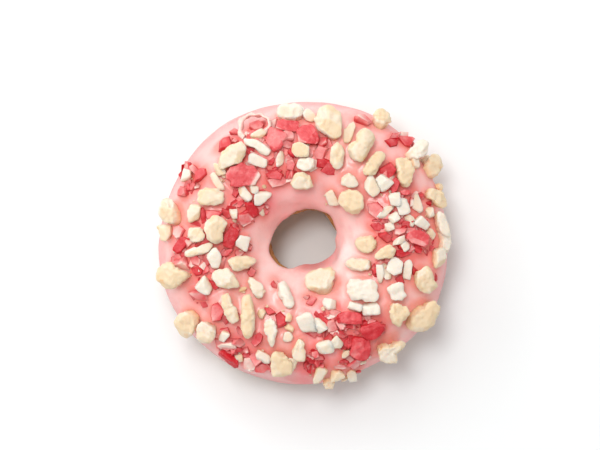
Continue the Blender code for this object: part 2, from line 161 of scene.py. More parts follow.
# The nuts that are solids of the frame, in order: x and y of a mark on each, its tone, and how
# far it reaches from the mark, seen from above, at every 30 degrees from +X round by +Y, in
# tenths of a millimetre. A nut without reaches keeps its solid's outline.
NUTS = (
    (-22.8, 27.2, 0.35, (46, 53, 46, 31, 25, 26, 30, 44, 55, 36, 34, 42)),
    (-14.8, 30.2, 0.95, (26, 17, 15, 16, 22, 42, 34, 15, 12, 16, 36, 49)),
    (-4.8, 40.6, 0.9, (43, 42, 32, 27, 31, 36, 38, 36, 31, 27, 32, 40)),
    (0.5, 24.2, 0.9, (28, 29, 24, 19, 22, 28, 29, 28, 23, 21, 24, 25)),
    (-0.3, 19.2, 0.3, (25, 24, 25, 26, 30, 34, 36, 43, 32, 28, 33, 35)),
    (7.6, 37.2, 0.35, (42, 46, 48, 56, 54, 46, 44, 44, 40, 47, 56, 43)),
    (10.2, 26.9, 0.5, (21, 24, 30, 42, 34, 26, 25, 28, 36, 43, 33, 21)),
    (17.7, 30.3, 0.35, (35, 47, 51, 49, 35, 24, 41, 50, 55, 54, 35, 29)),
    (21.4, 24.2, 0.05, (22, 40, 48, 33, 24, 24, 26, 41, 39, 34, 24, 20)),
    (24.2, 39, 0.35, (28, 26, 25, 29, 30, 29, 29, 28, 28, 32, 30, 32)),
    (30.8, 21.7, 0.05, (31, 35, 47, 44, 51, 28, 22, 25, 31, 46, 39, 31)),
    (35.4, 28.6, 0.9, (30, 40, 40, 33, 24, 24, 32, 41, 30, 25, 23, 26)),
    (40.3, 24.2, 0.35, (32, 34, 36, 36, 30, 24, 25, 29, 37, 40, 32, 28)),
    (13.8, 19.4, 0.65, (24, 19, 19, 22, 21, 22, 25, 29, 24, 25, 28, 32)),
    (14.3, 12.8, 0.1, (38, 40, 39, 36, 39, 40, 39, 37, 34, 39, 45, 44)),
    (-42.4, 9.7, 0.5, (32, 30, 36, 43, 39, 32, 30, 31, 34, 36, 47, 38)),
    (-29.2, 14.2, 0.35, (43, 40, 31, 28, 32, 38, 37, 40, 31, 27, 32, 43)),
    (-27.4, 4.2, 0.35, (28, 42, 42, 44, 38, 37, 36, 34, 40, 47, 44, 28)),
    (-33.4, 2.6, 0.6, (28, 26, 25, 22, 24, 28, 29, 23, 26, 24, 26, 28)),
    (-33.3, -2.3, 0.6, ()),
    (-19.4, -6, 0.35, (45, 34, 25, 20, 23, 32, 42, 35, 32, 30, 24, 29)),
    (7.8, -44.2, 0.35, ()),
    (-41, -9.9, 0.15, (56, 32, 26, 40, 42, 48, 51, 48, 48, 46, 40, 43)),
    (-24.7, -10.9, 0.6, (36, 31, 33, 33, 33, 38, 42, 31, 32, 34, 36, 54)),
    (-23.3, -20.1, 0.35, (24, 17, 19, 45, 45, 27, 21, 19, 28, 41, 50, 32)),
    (-17.6, -22.7, 0.15, (24, 26, 39, 69, 44, 25, 22, 24, 41, 69, 47, 28)),
    (-15, -14, 0.6, (28, 23, 22, 26, 41, 24, 18, 15, 19, 29, 34, 31)),
    (-36.9, -25.6, 0.2, (35, 42, 44, 42, 41, 38, 35, 32, 35, 41, 38, 34)),
    (-30.3, -27.7, 0.55, (29, 31, 28, 32, 37, 35, 31, 38, 38, 35, 34, 30)),
    (-10.3, -27.2, 0.75, (21, 20, 27, 42, 36, 26, 24, 20, 22, 50, 26, 22)),
    (-5.9, -15.9, 0.95, (19, 19, 24, 41, 41, 25, 24, 21, 20, 39, 45, 31)),
    (-1.9, -33.2, 0.35, (22, 21, 32, 36, 20, 17, 20, 22, 32, 34, 39, 25)),
    (-8, -37.7, 0.15, (47, 36, 36, 40, 41, 28, 25, 30, 40, 38, 41, 50)),
    (5.3, -11.5, 0.35, (36, 50, 48, 39, 38, 48, 54, 52, 40, 39, 43, 37)),
    (18.9, -0.5, 0.1, (33, 32, 33, 26, 29, 34, 36, 29, 27, 28, 28, 29)),
    (24.8, -2.9, 0.15, (32, 32, 28, 20, 16, 19, 25, 39, 24, 22, 24, 28)),
    (16.3, -6.5, 0.6, (40, 31, 22, 20, 23, 29, 40, 29, 24, 22, 27, 38)),
    (17.8, -14.4, 0.95, (47, 48, 39, 32, 39, 52, 47, 48, 40, 36, 44, 58)),
    (28.6, -15.1, 0.95, (22, 25, 33, 29, 29, 33, 30, 28, 29, 26, 31, 32)),
    (37.6, -11.5, 0.2, (25, 26, 34, 45, 36, 38, 35, 36, 39, 42, 39, 42)),
    (29, -21.9, 0.1, (40, 33, 28, 33, 39, 30, 28, 30, 36, 41, 29, 29)),
    (37.2, -23.2, 0.15, (40, 57, 63, 34, 35, 34, 43, 60, 54, 42, 39, 39)),
    (26.6, -33.6, 0.35, (32, 56, 33, 16, 28, 34, 39, 42, 40, 39, 44, 23)),
    (42.4, 6.3, 0.7, (21, 20, 26, 34, 30, 18, 15, 15, 19, 36, 52, 30)),
    (44.1, 0.4, 0.9, (17, 19, 26, 36, 39, 22, 19, 22, 44, 38, 24, 18)),
    (40.8, 14, 0.1, (29, 30, 28, 25, 34, 34, 28, 17, 17, 26, 39, 42)),
)

# The marks and reaches of the shards that don't keep their solid's outline, by number.
SHARD_OUTLINES = {
    1: (-19.3, 20.9, (60, 46, 36, 42, 34, 44, 52, 42, 48, 36, 38, 50)),
    3: (-9.6, 33, (46, 32, 24, 26, 29, 22, 20, 27, 32, 49, 46, 34)),
    5: (1.6, 33.4, (26, 24, 29, 33, 36, 41, 40, 41, 31, 30, 36, 35)),
}

# Places where the icing is deeper pink, partly thicker icing and partly painted shade; the
# last, at the bottom edge, is painted shade: x, y, radius and strength.
ICING_POOLS = ((-9, 12, 6, 0.45), (2, 14, 6, 0.3), (18, -26, 9, 0.3), (20, 12, 6, 0.25),
               (0, -41.5, 4.5, 0.8))

# Places, most of them round the hole, where a sheen is painted on the icing as paler colour:
# x, y, radius and strength.
PAINTED_SHEEN_POOLS = ((12.6, -6.6, 5.5, 0.8), (14.8, 0.5, 5, 0.6), (-12.6, -7.2, 5, 0.4),
              (-7, -13, 5.5, 0.45), (0.5, -14.6, 5, 0.4), (-16, -17, 4, 0.4), (32, -31, 5, 0.4))

# Where broken chocolate lies thick: x, y, half length, half width, turn, pieces.
SHARD_BEDS = (
    (-10, 33, 14, 4, 0, 26), (-12, 25, 14, 6, 0, 32), (-35, 20, 4.5, 4.5, 0, 8),
    (-17.5, 12.5, 6.5, 6, 0, 16), (-33, -4, 8, 6.5, 0, 24), (-22, 3, 6, 8, 0, 16),
    (-31, -16, 4.5, 3.5, 0, 6), (-22.5, -32.6, 5.5, 2.2, -25, 9), (-15, -36.6, 5, 2.6, 0, 9),
    (-20, -26, 7, 6, 0, 6), (2, -37, 4, 3.6, 0, 10), (8, -26, 8, 5, 0, 18), (18, -27, 6, 4, 0, 12),
    (15, -34.5, 5, 4, 0, 11), (28, 4, 8, 6, 0, 20), (34, -0.5, 6, 4, 0, 12), (29, 14, 6, 6, 0, 10),
    (37, 8, 3, 7, 0, 8), (28, -8, 8, 4, 0, 9), (30, 31.5, 5, 2, 0, 6), (26, 21, 4, 5, 0, 7),
    (5, 27, 5, 5, 0, 8),
)

# The tones that a bed's bits take, each as often as it stands here.
BED_TONES = (0.22, 0.4, 0.46, 0.52, 0.6, 0.7, 0.95)

# The shards' tones, by number. The rest take the usual.
USUAL_SHARD = 0.64
SHARD_TONES = {1: 0.47, 3: 0.5, 4: 0.45, 5: 0.55, 6: 1.2, 7: 1.1, 8: 0.92, 9: 0.72, 10: 1,
               11: 0.88, 12: 0.62}

# The solid that is a curled flake.
CURL = "shard_02"

# Shards with a pale edge, by number: the way that the edge lies, seen from above.
PALE_EDGES = {1: (0.87, -0.5)}

# The nuts that are whole or split along their length, and so have round backs.
ROUND_NUTS = (7, 8, 21, 23, 25, 26, 31)

# Bearings and bands of the ball that a nut's and a shard's mesh starts from, how crisp its edges
# are, and how far lumps swell it. A nut chip's or crumb's edges are less crisp.
NUT_BALL = (64, 40)
SHARD_BALL = (96, 60)
CHIP_CRISPNESS = 34
NUT_CRISPNESS = 90
SHARD_CRISPNESS = 160
NUT_LUMPS = 0.14 * MM
SHARD_LUMPS = 0.08 * MM

# How quickly a flat side's shade changes with the way that it faces, as a wavelength.
SHADE_WAVE = 0.9

# How far a side's shade moves the tone of a nut and of a piece of chocolate.
NUT_SHADES = 0.2
SHARD_SHADES = 0.2

# How far a topping's flat top leans from square with the coat towards level.
SKYWARD = np.array([0.0, 0.0, 1.2])

# The cuts over a whole nut, a broken nut and a shard: (stray from up, share of the reach).
WHOLE_CUTS = ((0.2, 0.9), (0.5, 0.96))
BROKEN_CUTS = ((0.2, 0.74), (0.5, 0.84), (1.0, 0.92), (2.6, 0.88), (2.6, 0.9), (3.5, 0.88),
               (3.5, 0.92))
SHARD_CUTS = ((0.2, 0.72), (0.9, 0.8), (0.9, 0.84), (1.4, 0.85), (2.6, 0.8), (2.6, 0.84),
              (3.5, 0.8), (3.5, 0.84), (3.5, 0.88))

# How deep a large topping's underside lies in the coat, and that of a small lump or flake.
SOLID_SINK = 0.8 * MM
LUMP_SINK = 0.5 * MM
FLAKE_SINK = 0.4 * MM

# A topping's foot on the coat, as a share of its half length and half width.
FOOT_SHARE = 0.92

# How strongly the icing is tinted beside each kind of chocolate: by its colour bleeding
# in, and by painted pink bounce light.
STAINS_AND_BOUNCE = {"shard": 0.8, "chocolate_chips": 0.5, "chocolate_bits": 0.25}


def srgb(red, green, blue):
    """A colour out of 255 as Blender's linear red, green, blue and alpha."""
    return tuple(((c / 255 + 0.055) / 1.055) ** 2.4 for c in (red, green, blue)) + (1.0,)


def laid(marks):
    """Places of the layout, whose first two numbers are millimetres from its mark, in metres."""
    return (np.array(marks, float)[..., :2] + LAYOUT_ZERO) * MM


# ---- the ring's surface


def lobed(angle, mean, lobes):
    """The mean plus, for each lobe, its size times the cosine of its order of turns."""
    total = np.full_like(angle, mean)
    for order, size, peak in lobes:
        total += size * np.cos(order * (angle - math.radians(peak)))
    return total


def ring_section(around):
    """Radius of the section's middle, and half its width, at an angle round the ring."""
    outer = lobed(around, DOUGH_RADIUS, DOUGH_LOBES)
    inner = lobed(around, THROAT_RADIUS, THROAT_LOBES)
    return (outer + inner) / 2, (outer - inner) / 2


def reach(around, turn, lift):
    """From the section's middle to its skin: a rounded square, taller above than below."""
    half = ring_section(around)[1] + lift
    tall = np.where(np.sin(turn) > 0, CROWN, BELLY) + lift
    wide = np.abs(np.cos(turn) / half) ** SQUARENESS
    high = np.abs(np.sin(turn) / tall) ** SQUARENESS
    return (wide + high) ** (-1 / SQUARENESS)


def skin(around, turn, lift):
    """Points on the ring's skin, pushed out by lift, by their angles round the ring and round
    its section: out from the section's middle by its reach, then round the ring's centre."""
    middle = ring_section(around)[0]
    away = reach(around, turn, lift)
    radius = middle + away * np.cos(turn)
    x = RING_CENTRE[0] + radius * np.cos(around)
    y = RING_CENTRE[1] + radius * np.sin(around)
    return np.stack([x, y, EQUATOR + away * np.sin(turn)], axis=-1)


def ring_angles(points):
    """The angles round the ring and round its section at which points lie, and how far
    outwards they are from the section's middle."""
    x = points[..., 0] - RING_CENTRE[0]
    y = points[..., 1] - RING_CENTRE[1]
    around = np.arctan2(y, x)
    sideways = np.hypot(x, y) - ring_section(around)[0]
    return around, np.arctan2(points[..., 2] - EQUATOR, sideways), sideways


def clearance(points, lift):
    """How far points stand outside the skin that is pushed out by lift."""
    around, turn, sideways = ring_angles(points)
    return np.hypot(sideways, points[..., 2] - EQUATOR) - reach(around, turn, lift)


def unit(vectors):
    """Vectors scaled to length 1."""
    return vectors / np.linalg.norm(vectors, axis=-1, keepdims=True)


def compass(angle):
    """The direction at an angle from +X, seen from above."""
    return np.stack([np.cos(angle), np.sin(angle)], axis=-1)


def upward(around, turn):
    """The skin's outward direction: along the ring crossed with round the section."""
    step = 0.01
    here = skin(around, turn, COAT)
    along = skin(around + step, turn, COAT) - here
    inward = skin(around, turn + step, COAT) - here
    return unit(np.cross(along, inward))


def up_at(point):
    """The skin's outward direction where a point stands over it."""
    return upward(*ring_angles(point)[:2])


def smooth_step(value):
    """0 below 0, 1 above 1, and 3t^2 - 2t^3 between."""
    share = np.clip(value, 0.0, 1.0)
    return share * share * (3 - 2 * share)


def bell(value):
    """1 at 0, falling away on both sides as the exponential of minus the square."""
    return np.exp(-value ** 2)


def ripple(points, wavelength, seed, waves=14):
    """A smooth uneven field of about -1 to 1: a mean of cosines along random directions."""
    dice = np.random.default_rng(seed)
    directions = unit(dice.normal(size=(waves, 3)))
    lengths = wavelength * dice.uniform(0.7, 1.5, waves)
    phases = dice.uniform(0, TURN, waves)
    total = np.zeros(points.shape[:-1])
    for direction, length, phase in zip(directions, lengths, phases):
        total += np.cos(points @ direction * (TURN / length) + phase)
    return total / math.sqrt(waves / 2)


# ---- meshes from arrays


def read(items, key, width=1):
    """A property of a mesh's vertices or faces as an array, with width numbers for each."""
    values = np.empty(len(items) * width)
    items.foreach_get(key, values)
    return values.reshape(-1, width)


def tube_faces(rows, columns):
    """The numbers of a tube's points, row by row, and the quads between its rows, which each
    close on themselves."""
    index = np.arange(rows * columns).reshape(rows, columns)
    after = np.roll(index, -1, axis=1)
    return index, np.stack([index[:-1], after[:-1], after[1:], index[1:]], axis=-1).reshape(-1, 4)


def ring_faces(rows, columns):
    """Quads of a sheet of rows by columns that closes on itself both ways."""
    index = np.arange(rows * columns).reshape(rows, columns)
    over = np.roll(index, -1, axis=0)
    return np.stack([index, over, np.roll(over, -1, axis=1), np.roll(index, -1, axis=1)],
                    axis=-1).reshape(-1, 4)


def ball_directions(bearings, bands):
    """Directions on a ball, band by band from the top, then its two poles."""
    bearing = np.arange(bearings) / bearings * TURN
    drop = (np.arange(bands) + 1) / (bands + 1) * math.pi
    flat = np.sin(drop)[:, None]
    grid = np.stack([flat * np.cos(bearing), flat * np.sin(bearing),
                     np.broadcast_to(np.cos(drop)[:, None], (bands, bearings))], axis=-1)
    return np.concatenate([grid.reshape(-1, 3), [[0.0, 0.0, 1.0], [0.0, 0.0, -1.0]]])


def ball_faces(bearings, bands):
    """Faces of such a ball: quads between bands, and a fan of triangles at each pole."""
    index, quads = tube_faces(bands, bearings)
    after = np.roll(index, -1, axis=1)
    top = np.full(bearings, bearings * bands)
    upper = np.stack([top, index[0], after[0]], axis=-1)
    lower = np.stack([top + 1, after[-1], index[-1]], axis=-1)
    return quads[:, [0, 3, 2, 1]], np.concatenate([upper, lower])


def repeat_faces(faces, count, stride):
    """The same faces for count pieces, each with stride points."""
    offset = np.arange(count)[:, None, None] * stride
    return (faces[None] + offset).reshape(-1, faces.shape[1])


def make_piece(name, points, faces, finish, slot, tone=None, stands_for=(), smooth=True,
               foot=None):
    """A mesh from an array of points and arrays of faces of like size, riding on the doughnut.
    Unless it is given, its attribute foot goes from 0 to 1 where the piece nears the coat, the
    mask of the painted shade there."""
    points = np.clip(points.reshape(-1, 3), BOX[0] + HAIR, BOX[1] - HAIR)
    corners = np.concatenate([face.ravel() for face in faces]).astype(np.int32)
    sizes = np.concatenate([np.full(len(face), face.shape[1]) for face in faces])
    starts = np.concatenate([[0], np.cumsum(sizes)[:-1]]).astype(np.int32)
    mesh = bpy.data.meshes.new(name)
    mesh.vertices.add(len(points))
    mesh.vertices.foreach_set("co", points.astype(np.float32).ravel())
    mesh.loops.add(len(corners))
    mesh.loops.foreach_set("vertex_index", corners)
    mesh.polygons.add(len(sizes))
    mesh.polygons.foreach_set("loop_start", starts)
    mesh.update(calc_edges=True)
    if foot is None:
        foot = 1 - smooth_step(clearance(points, COAT) / (NUT_SHADE_REACH if slot == "nut" else FOOT_SHADE_REACH))
    for label, values in (("tone", tone), ("foot", foot)):
        if values is not None:
            layer = mesh.attributes.new(label, "FLOAT", "POINT")
            layer.data.foreach_set("value", np.asarray(values, np.float32).ravel())
    if not smooth:
        mesh.shade_flat()
    mesh.materials.append(finish)
    piece = bpy.data.objects.new(name, mesh)
    bpy.context.scene.collection.objects.link(piece)
    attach(piece, "root")
    if stands_for:
        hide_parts(*stands_for)


# ---- finishes

# A Mix node's sockets for colours, by number.
MIX_FACTOR, MIX_A, MIX_B, MIX_RESULT = 0, 6, 7, 2


class Field:
    """What varies over a surface: one output of a shader node, with sums written as in Python."""

    def __init__(self, tree, socket=None):
        self.tree = tree
        self.socket = socket

    def node(self, kind, settings=None, sockets=None, output=0):
        """A shader node: its settings or ramp stops first, then each socket's value or link."""
        made = self.tree.nodes.new(kind)
        for key, value in (settings or {}).items():
            if key == "stops":
                self.set_stops(made.color_ramp, value)
            else:
                setattr(made, key, value)
        for key, value in (sockets or {}).items():
            if isinstance(value, Field):
                self.tree.links.new(value.socket, made.inputs[key])
            else:
                made.inputs[key].default_value = value
        return Field(self.tree, made.outputs[output])

    @staticmethod
    def set_stops(ramp, stops):
        """A ramp's colours at their places, lowest first."""
        while len(ramp.elements) < len(stops):
            ramp.elements.new(1.0)
        for element, (place, colour) in zip(ramp.elements, stops):
            element.position = place
            element.color = colour

    def maths(self, operation, *values):
        """One Math node on these values."""
        return self.node("ShaderNodeMath", {"operation": operation}, dict(enumerate(values)))

    def __add__(self, other):
        return self.maths("ADD", self, other)

    def __sub__(self, other):
        return self.maths("SUBTRACT", self, other)

    def __rsub__(self, other):
        return self.maths("SUBTRACT", other, self)

    def __mul__(self, other):
        return self.maths("MULTIPLY", self, other)

    def __abs__(self):
        return self.maths("ABSOLUTE", self)

    __radd__ = __add__
    __rmul__ = __mul__

    def attribute(self, name):
        """A number that the piece's mesh holds for each of its points."""
        return self.node("ShaderNodeAttribute", {"attribute_name": name}, output="Fac")

    def height(self):
        """How high a position is."""
        return self.node("ShaderNodeSeparateXYZ", None, {0: self}, "Z")

    def between(self, low, high):
        """0 below low, 1 above high, and a smooth step between."""
        return self.node("ShaderNodeMapRange", {"interpolation_type": "SMOOTHSTEP"},
                         {"Value": self, "From Min": low, "From Max": high})

    def noise(self, size, detail=2.0, rough=0.5):
        """Cloudy noise from about 0 to 1 on a position, with lumps of the given size."""
        return self.node("ShaderNodeTexNoise", None,
                         {"Vector": self, "Scale": 1 / size, "Detail": detail, "Roughness": rough})

    def mix(self, first, second):
        """From the first colour to the second as this goes from 0 to 1."""
        return self.node("ShaderNodeMix", {"data_type": "RGBA"},
                         {MIX_FACTOR: self, MIX_A: first, MIX_B: second}, MIX_RESULT)

    def bump(self, depth):
        """A normal from this as a height, depth tall at 1."""
        return self.node("ShaderNodeBump", None, {"Height": self, "Distance": depth})


def start_finish(name):
    """A material, the position on its piece as a field, and its Principled shader."""
    material = bpy.data.materials.new(name)
    material.use_nodes = True
    tree = material.node_tree
    shader = tree.nodes["Principled BSDF"]
    return material, Field(tree).node("ShaderNodeTexCoord", output="Object"), shader


def paint(shader, place, colour, roughness, normal):
    """Link what varies to the shader's colour, roughness and normal."""
    links = place.tree.links
    links.new(colour.socket, shader.inputs["Base Color"])
    links.new(roughness.socket, shader.inputs["Roughness"])
    links.new(normal.socket, shader.inputs["Normal"])


def translucent(shader, weight, depth, reds):
    """Light passes a little way into the stuff, red furthest."""
    shader.inputs["Subsurface Weight"].default_value = weight
    shader.inputs["Subsurface Radius"].default_value = reds
    shader.inputs["Subsurface Scale"].default_value = depth


def crust_finish():
    """Fried crust: mottled and speckled golden brown, with a pale line that wanders a little
    below its widest place, and darker underneath."""
    material, place, shader = start_finish("crust")
    height = place.height()
    blotches = place.noise(9 * MM, 3.0)
    grains = place.noise(1.4 * MM, 4.0, 0.6)
    golden = blotches.between(0.3, 0.7).mix(srgb(198, 134, 66), srgb(220, 162, 92))
    speckled = grains.between(0.45, 0.75).mix(golden, srgb(156, 98, 50))
    away = abs(height - 10.5 * MM + (blotches - 0.5) * (5 * MM))
    pale = (1 - away.between(0.6 * MM, 3.4 * MM)) * 0.8
    lined = pale.mix(speckled, srgb(228, 188, 126))
    under = 1 - height.between(0.2 * MM, 4.0 * MM)
    colour = (under * 0.6).mix(lined, srgb(142, 86, 44))
    relief = grains + blotches * 1.5 + place.noise(0.5 * MM, 2.0) * 0.4
    paint(shader, place, colour, 0.5 + grains * 0.2, relief.bump(0.35 * MM))
    translucent(shader, 0.15, 1.2 * MM, (1.0, 0.5, 0.25))
    return material


def icing_finish():
    """Set icing: pale pink, paler where its tone is below 0, which is a painted sheen, and deeper
    pink where it is above 0, which is the chocolate's colour bleeding in with painted bounce
    light, and pools partly of painted shade. It is painted darker down the ring's sides and warm
    beside a topping, as painted shade. Satin, and glossier on top."""
    material, place, shader = start_finish("icing")
    tone = place.attribute("tone")
    clouds = place.noise(14 * MM, 2.0)
    pale = clouds.between(0.3, 0.7).mix(srgb(250, 191, 185), srgb(250, 203, 198))
    # Painted sheen: where the tone is below 0, the icing is painted paler.
    paler = (tone * -1).between(0.0, 1.0).mix(pale, srgb(254, 228, 223))
    mottled = (place.noise(4.5 * MM, 3.0).between(0.45, 0.75) * 0.3).mix(paler, srgb(244, 146, 146))
    height = place.height()
    # Painted shade: the icing is darkened down the ring's sides, which turn away from the light.
    low = (1 - height.between(13 * MM, 26 * MM)) * 0.9
    stained_and_shaded = (tone * 0.95).mix(low.mix(mottled, srgb(226, 122, 124)), srgb(244, 84, 92))
    # Painted shade: warm and darker where the icing climbs round each topping's foot, where shade falls.
    colour = (place.attribute("foot") * 0.5).mix(stained_and_shaded, srgb(230, 108, 82))
    film = place.noise(2.6 * MM, 3.0)
    relief = film + place.noise(6 * MM, 2.0) * 2.5 + place.noise(0.7 * MM, 2.0) * 0.3
    paint(shader, place, colour, 0.34 + film * 0.14, relief.bump(0.13 * MM))
    glaze = height.between(23 * MM, 29 * MM) * 0.5
    place.tree.links.new(glaze.socket, shader.inputs["Coat Weight"])
    shader.inputs["Coat Roughness"].default_value = 0.2
    translucent(shader, 0.4, 1.8 * MM, (1.0, 0.3, 0.25))
    return material


def nut_finish():
    """Cut nut: golden cream to near white by tone, faintly grained, with toasted touches, and
    golden near the coat, which is painted warm shade."""
    material, place, shader = start_finish("nut")
    tone = place.attribute("tone")
    clouds = place.noise(4 * MM, 2.0)
    shade = (tone + (clouds - 0.5) * 0.5).between(0.0, 1.0)
    cream = shade.mix(srgb(230, 207, 173), srgb(234, 224, 210))
    toasted = place.noise(3.2 * MM, 3.0, 0.6).between(0.6, 0.74) * (1 - tone) * 0.7
    browned = toasted.mix(cream, srgb(228, 176, 112))
    # Painted shade: warm golden near the coat, where the nut is in shade and takes warm bounce light.
    colour = (place.attribute("foot") * 0.5).mix(browned, srgb(240, 168, 96))
    grain = place.noise(0.9 * MM, 4.0, 0.65)
    paint(shader, place, colour, 0.42 + grain * 0.25, (grain + clouds).bump(0.22 * MM))
    shader.inputs["Specular IOR Level"].default_value = 0.3
    translucent(shader, 0.65, 2.2 * MM, (1.0, 0.82, 0.65))
    return material


def chocolate_finish():
    """Snapped chocolate: cream, pale pink, pink and deep red by tone, with frosted touches,
    and darker near the coat, which is painted shade."""
    material, place, shader = start_finish("pink chocolate")
    tone = place.attribute("tone")
    clouds = place.noise(2.0 * MM, 4.0)
    shade = tone + (clouds - 0.5) * (tone * 0.9 + 0.15)
    stops = ((0.0, srgb(246, 226, 212)), (0.3, srgb(234, 147, 143)),
             (0.62, srgb(221, 80, 84)), (1.0, srgb(200, 26, 38)))
    base = place.node("ShaderNodeValToRGB", {"stops": stops}, {"Fac": shade})
    frost = place.noise(0.8 * MM, 4.0, 0.6)
    frosted = (frost.between(0.55, 0.8) * 0.35).mix(base, srgb(246, 160, 156))
    # Painted shade: deep red near the coat, where shade falls between the pieces.
    colour = (place.attribute("foot") * 0.7).mix(frosted, srgb(172, 12, 24))
    paint(shader, place, colour, 0.3 + frost * 0.25, (frost + clouds * 2).bump(0.22 * MM))
    translucent(shader, 0.2, 0.8 * MM, (1.0, 0.3, 0.25))
    return material


# ---- toppings


def blob(directions, normals, distances, weights, shades, crispness):
    """Each direction's way out of a body of flat sides: the sides' shares of the way, over
    the greatest, are raised to a high power, summed and rooted, which rounds the edges a
    little. With it comes each way's shade, the sides' own shades mixed by those powers."""
    share = np.maximum(normals @ directions.T, 0.0) / distances[..., None]
    most = share.max(axis=-2)
    parts = weights[..., None] * (share / most[..., None, :]) ** crispness
    total = parts.sum(axis=-2)
    return total ** (-1 / crispness) / most, (parts * shades[..., None]).sum(axis=-2) / total


def sink(points, middle, up, depth):
    """Draw a topping's underside down through the coat's surface by depth, its lowest points
    the whole way and those at its middle's height not at all."""
    above = ((points - middle[..., None, :]) * up[..., None, :]).sum(axis=-1)
    low = above.min(axis=-1, keepdims=True)
    share = smooth_step((above / low - 0.15) / 0.85)
    push = share * np.maximum(clearance(points, COAT) + depth, 0.0)
    return points - up[..., None, :] * push[..., None]


def solid_sides(node):
    """A solid's corners and middle, and its flat sides: normals, distances from the middle, and
    areas over the mean."""
    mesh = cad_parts[node].data
    corners = read(mesh.vertices, "co", 3)
    normals = read(mesh.polygons, "normal", 3)
    areas = read(mesh.polygons, "area")[:, 0]
    middle = (corners.min(axis=0) + corners.max(axis=0)) / 2
    distances = ((read(mesh.polygons, "center", 3) - middle) * normals).sum(axis=1)
    return corners, middle, normals, distances, areas / areas.mean()


def fit_outline(points, mark, reaches):
    """Stretch or narrow a body away from an upright line through its mark, so that its outline
    from above has the given reaches. Its own reach on a bearing is the least that any line
    which just touches it allows."""
    offset = points[:, :2] - mark
    bearing = np.arctan2(offset[:, 1], offset[:, 0])
    lines = 72
    heading = np.arange(lines) / lines * TURN
    touching = (offset @ compass(heading).T).max(axis=0)
    marked = np.arange(len(reaches)) / len(reaches) * TURN
    toward = np.maximum(np.cos(marked[:, None] - heading), 0.0)
    own = 1 / (toward / touching).max(axis=1)
    ratio = np.interp(bearing, marked, np.array(reaches) / 10 * MM / own, period=TURN)
    fitted = points.copy()
    fitted[:, :2] = mark + offset * np.clip(ratio, 0.6, 1.5)[:, None]
    return fitted


def cuts_over(corners, middle, up, cuts, dice):
    """Flat cuts over a body: each row of cuts is how far its direction strays from up, and its
    share of the way to the body's own reach in that direction."""
    stray, shares = np.array(cuts).T
    normals = unit(up + unit(dice.normal(size=(len(cuts), 3))) * stray[:, None])
    return normals, ((corners - middle) @ normals.T).max(axis=0) * shares


def overhang(points, middle, up, foot, top):
    """Widen a body above and narrow it below: its breadth is scaled by foot at its lowest and
    by top from nine tenths of its height upwards."""
    away = points - middle[..., None, :]
    rise = (away * up[..., None, :]).sum(axis=-1, keepdims=True)
    low, high = rise.min(axis=-2, keepdims=True), rise.max(axis=-2, keepdims=True)
    scale = foot + (top - foot) * smooth_step((rise - low) / (high - low) / 0.9)
    above = rise * up[..., None, :]
    return middle[..., None, :] + above + (away - above) * scale


def solid_topping(node, ball, crispness, lump, cuts, reaches, mark, seed):
    """A nut or shard in place of its solid: the solid's sides and some cuts over it, rounded
    into one another, lumps pushed out of it, its outline fitted and its underside drawn down
    into the coat. Each flat side has its own shade."""
    corners, middle, normals, distances, weights = solid_sides(node)
    directions = ball_directions(*ball)
    up = up_at(middle)
    level = unit(up + SKYWARD)
    facing, reached = cuts_over(corners, middle, level, cuts, np.random.default_rng(seed + 200))
    normals = np.concatenate([normals, facing])
    distances = np.concatenate([distances, reached])
    weights = np.concatenate([weights, np.ones(len(cuts))])
    shades = np.clip(ripple(normals, SHADE_WAVE, seed + 300), -1.5, 1.5)
    out, shade = blob(directions, normals, distances, weights, shades, crispness)
    points = middle + directions * out[:, None]
    squashed = points * np.array([1.0, 1.0, 0.3])
    uneven = (ripple(points, 5 * MM, seed) + ripple(squashed, 1.7 * MM, seed + 1) * 0.7) * lump
    points = overhang(points + directions * uneven[:, None], middle, level, 0.74, 1.15)
    if reaches:
        points = fit_outline(points, mark, reaches)
    return sink(points, middle, up, SOLID_SINK), shade


def seat(rows, height, lean, dice):
    """Where small toppings sit: each one's place on the coat, and its front, side and up."""
    x, y = (laid(rows) - RING_CENTRE).T
    around = np.arctan2(y, x)
    middle, half = ring_section(around)
    share = (np.hypot(x, y) - middle) / (half + COAT + height / 2)
    turn = np.arccos(np.clip(share, -0.97, 0.97))
    aim = np.pad(compass(np.radians(rows[:, 4])), ((0, 0), (0, 1)))
    up = unit(upward(around, turn) + SKYWARD * 0.4 + dice.normal(size=(len(rows), 3)) * lean)
    front = unit(aim - (aim * up).sum(axis=-1, keepdims=True) * up)
    return skin(around, turn, COAT), front, np.cross(up, front), up


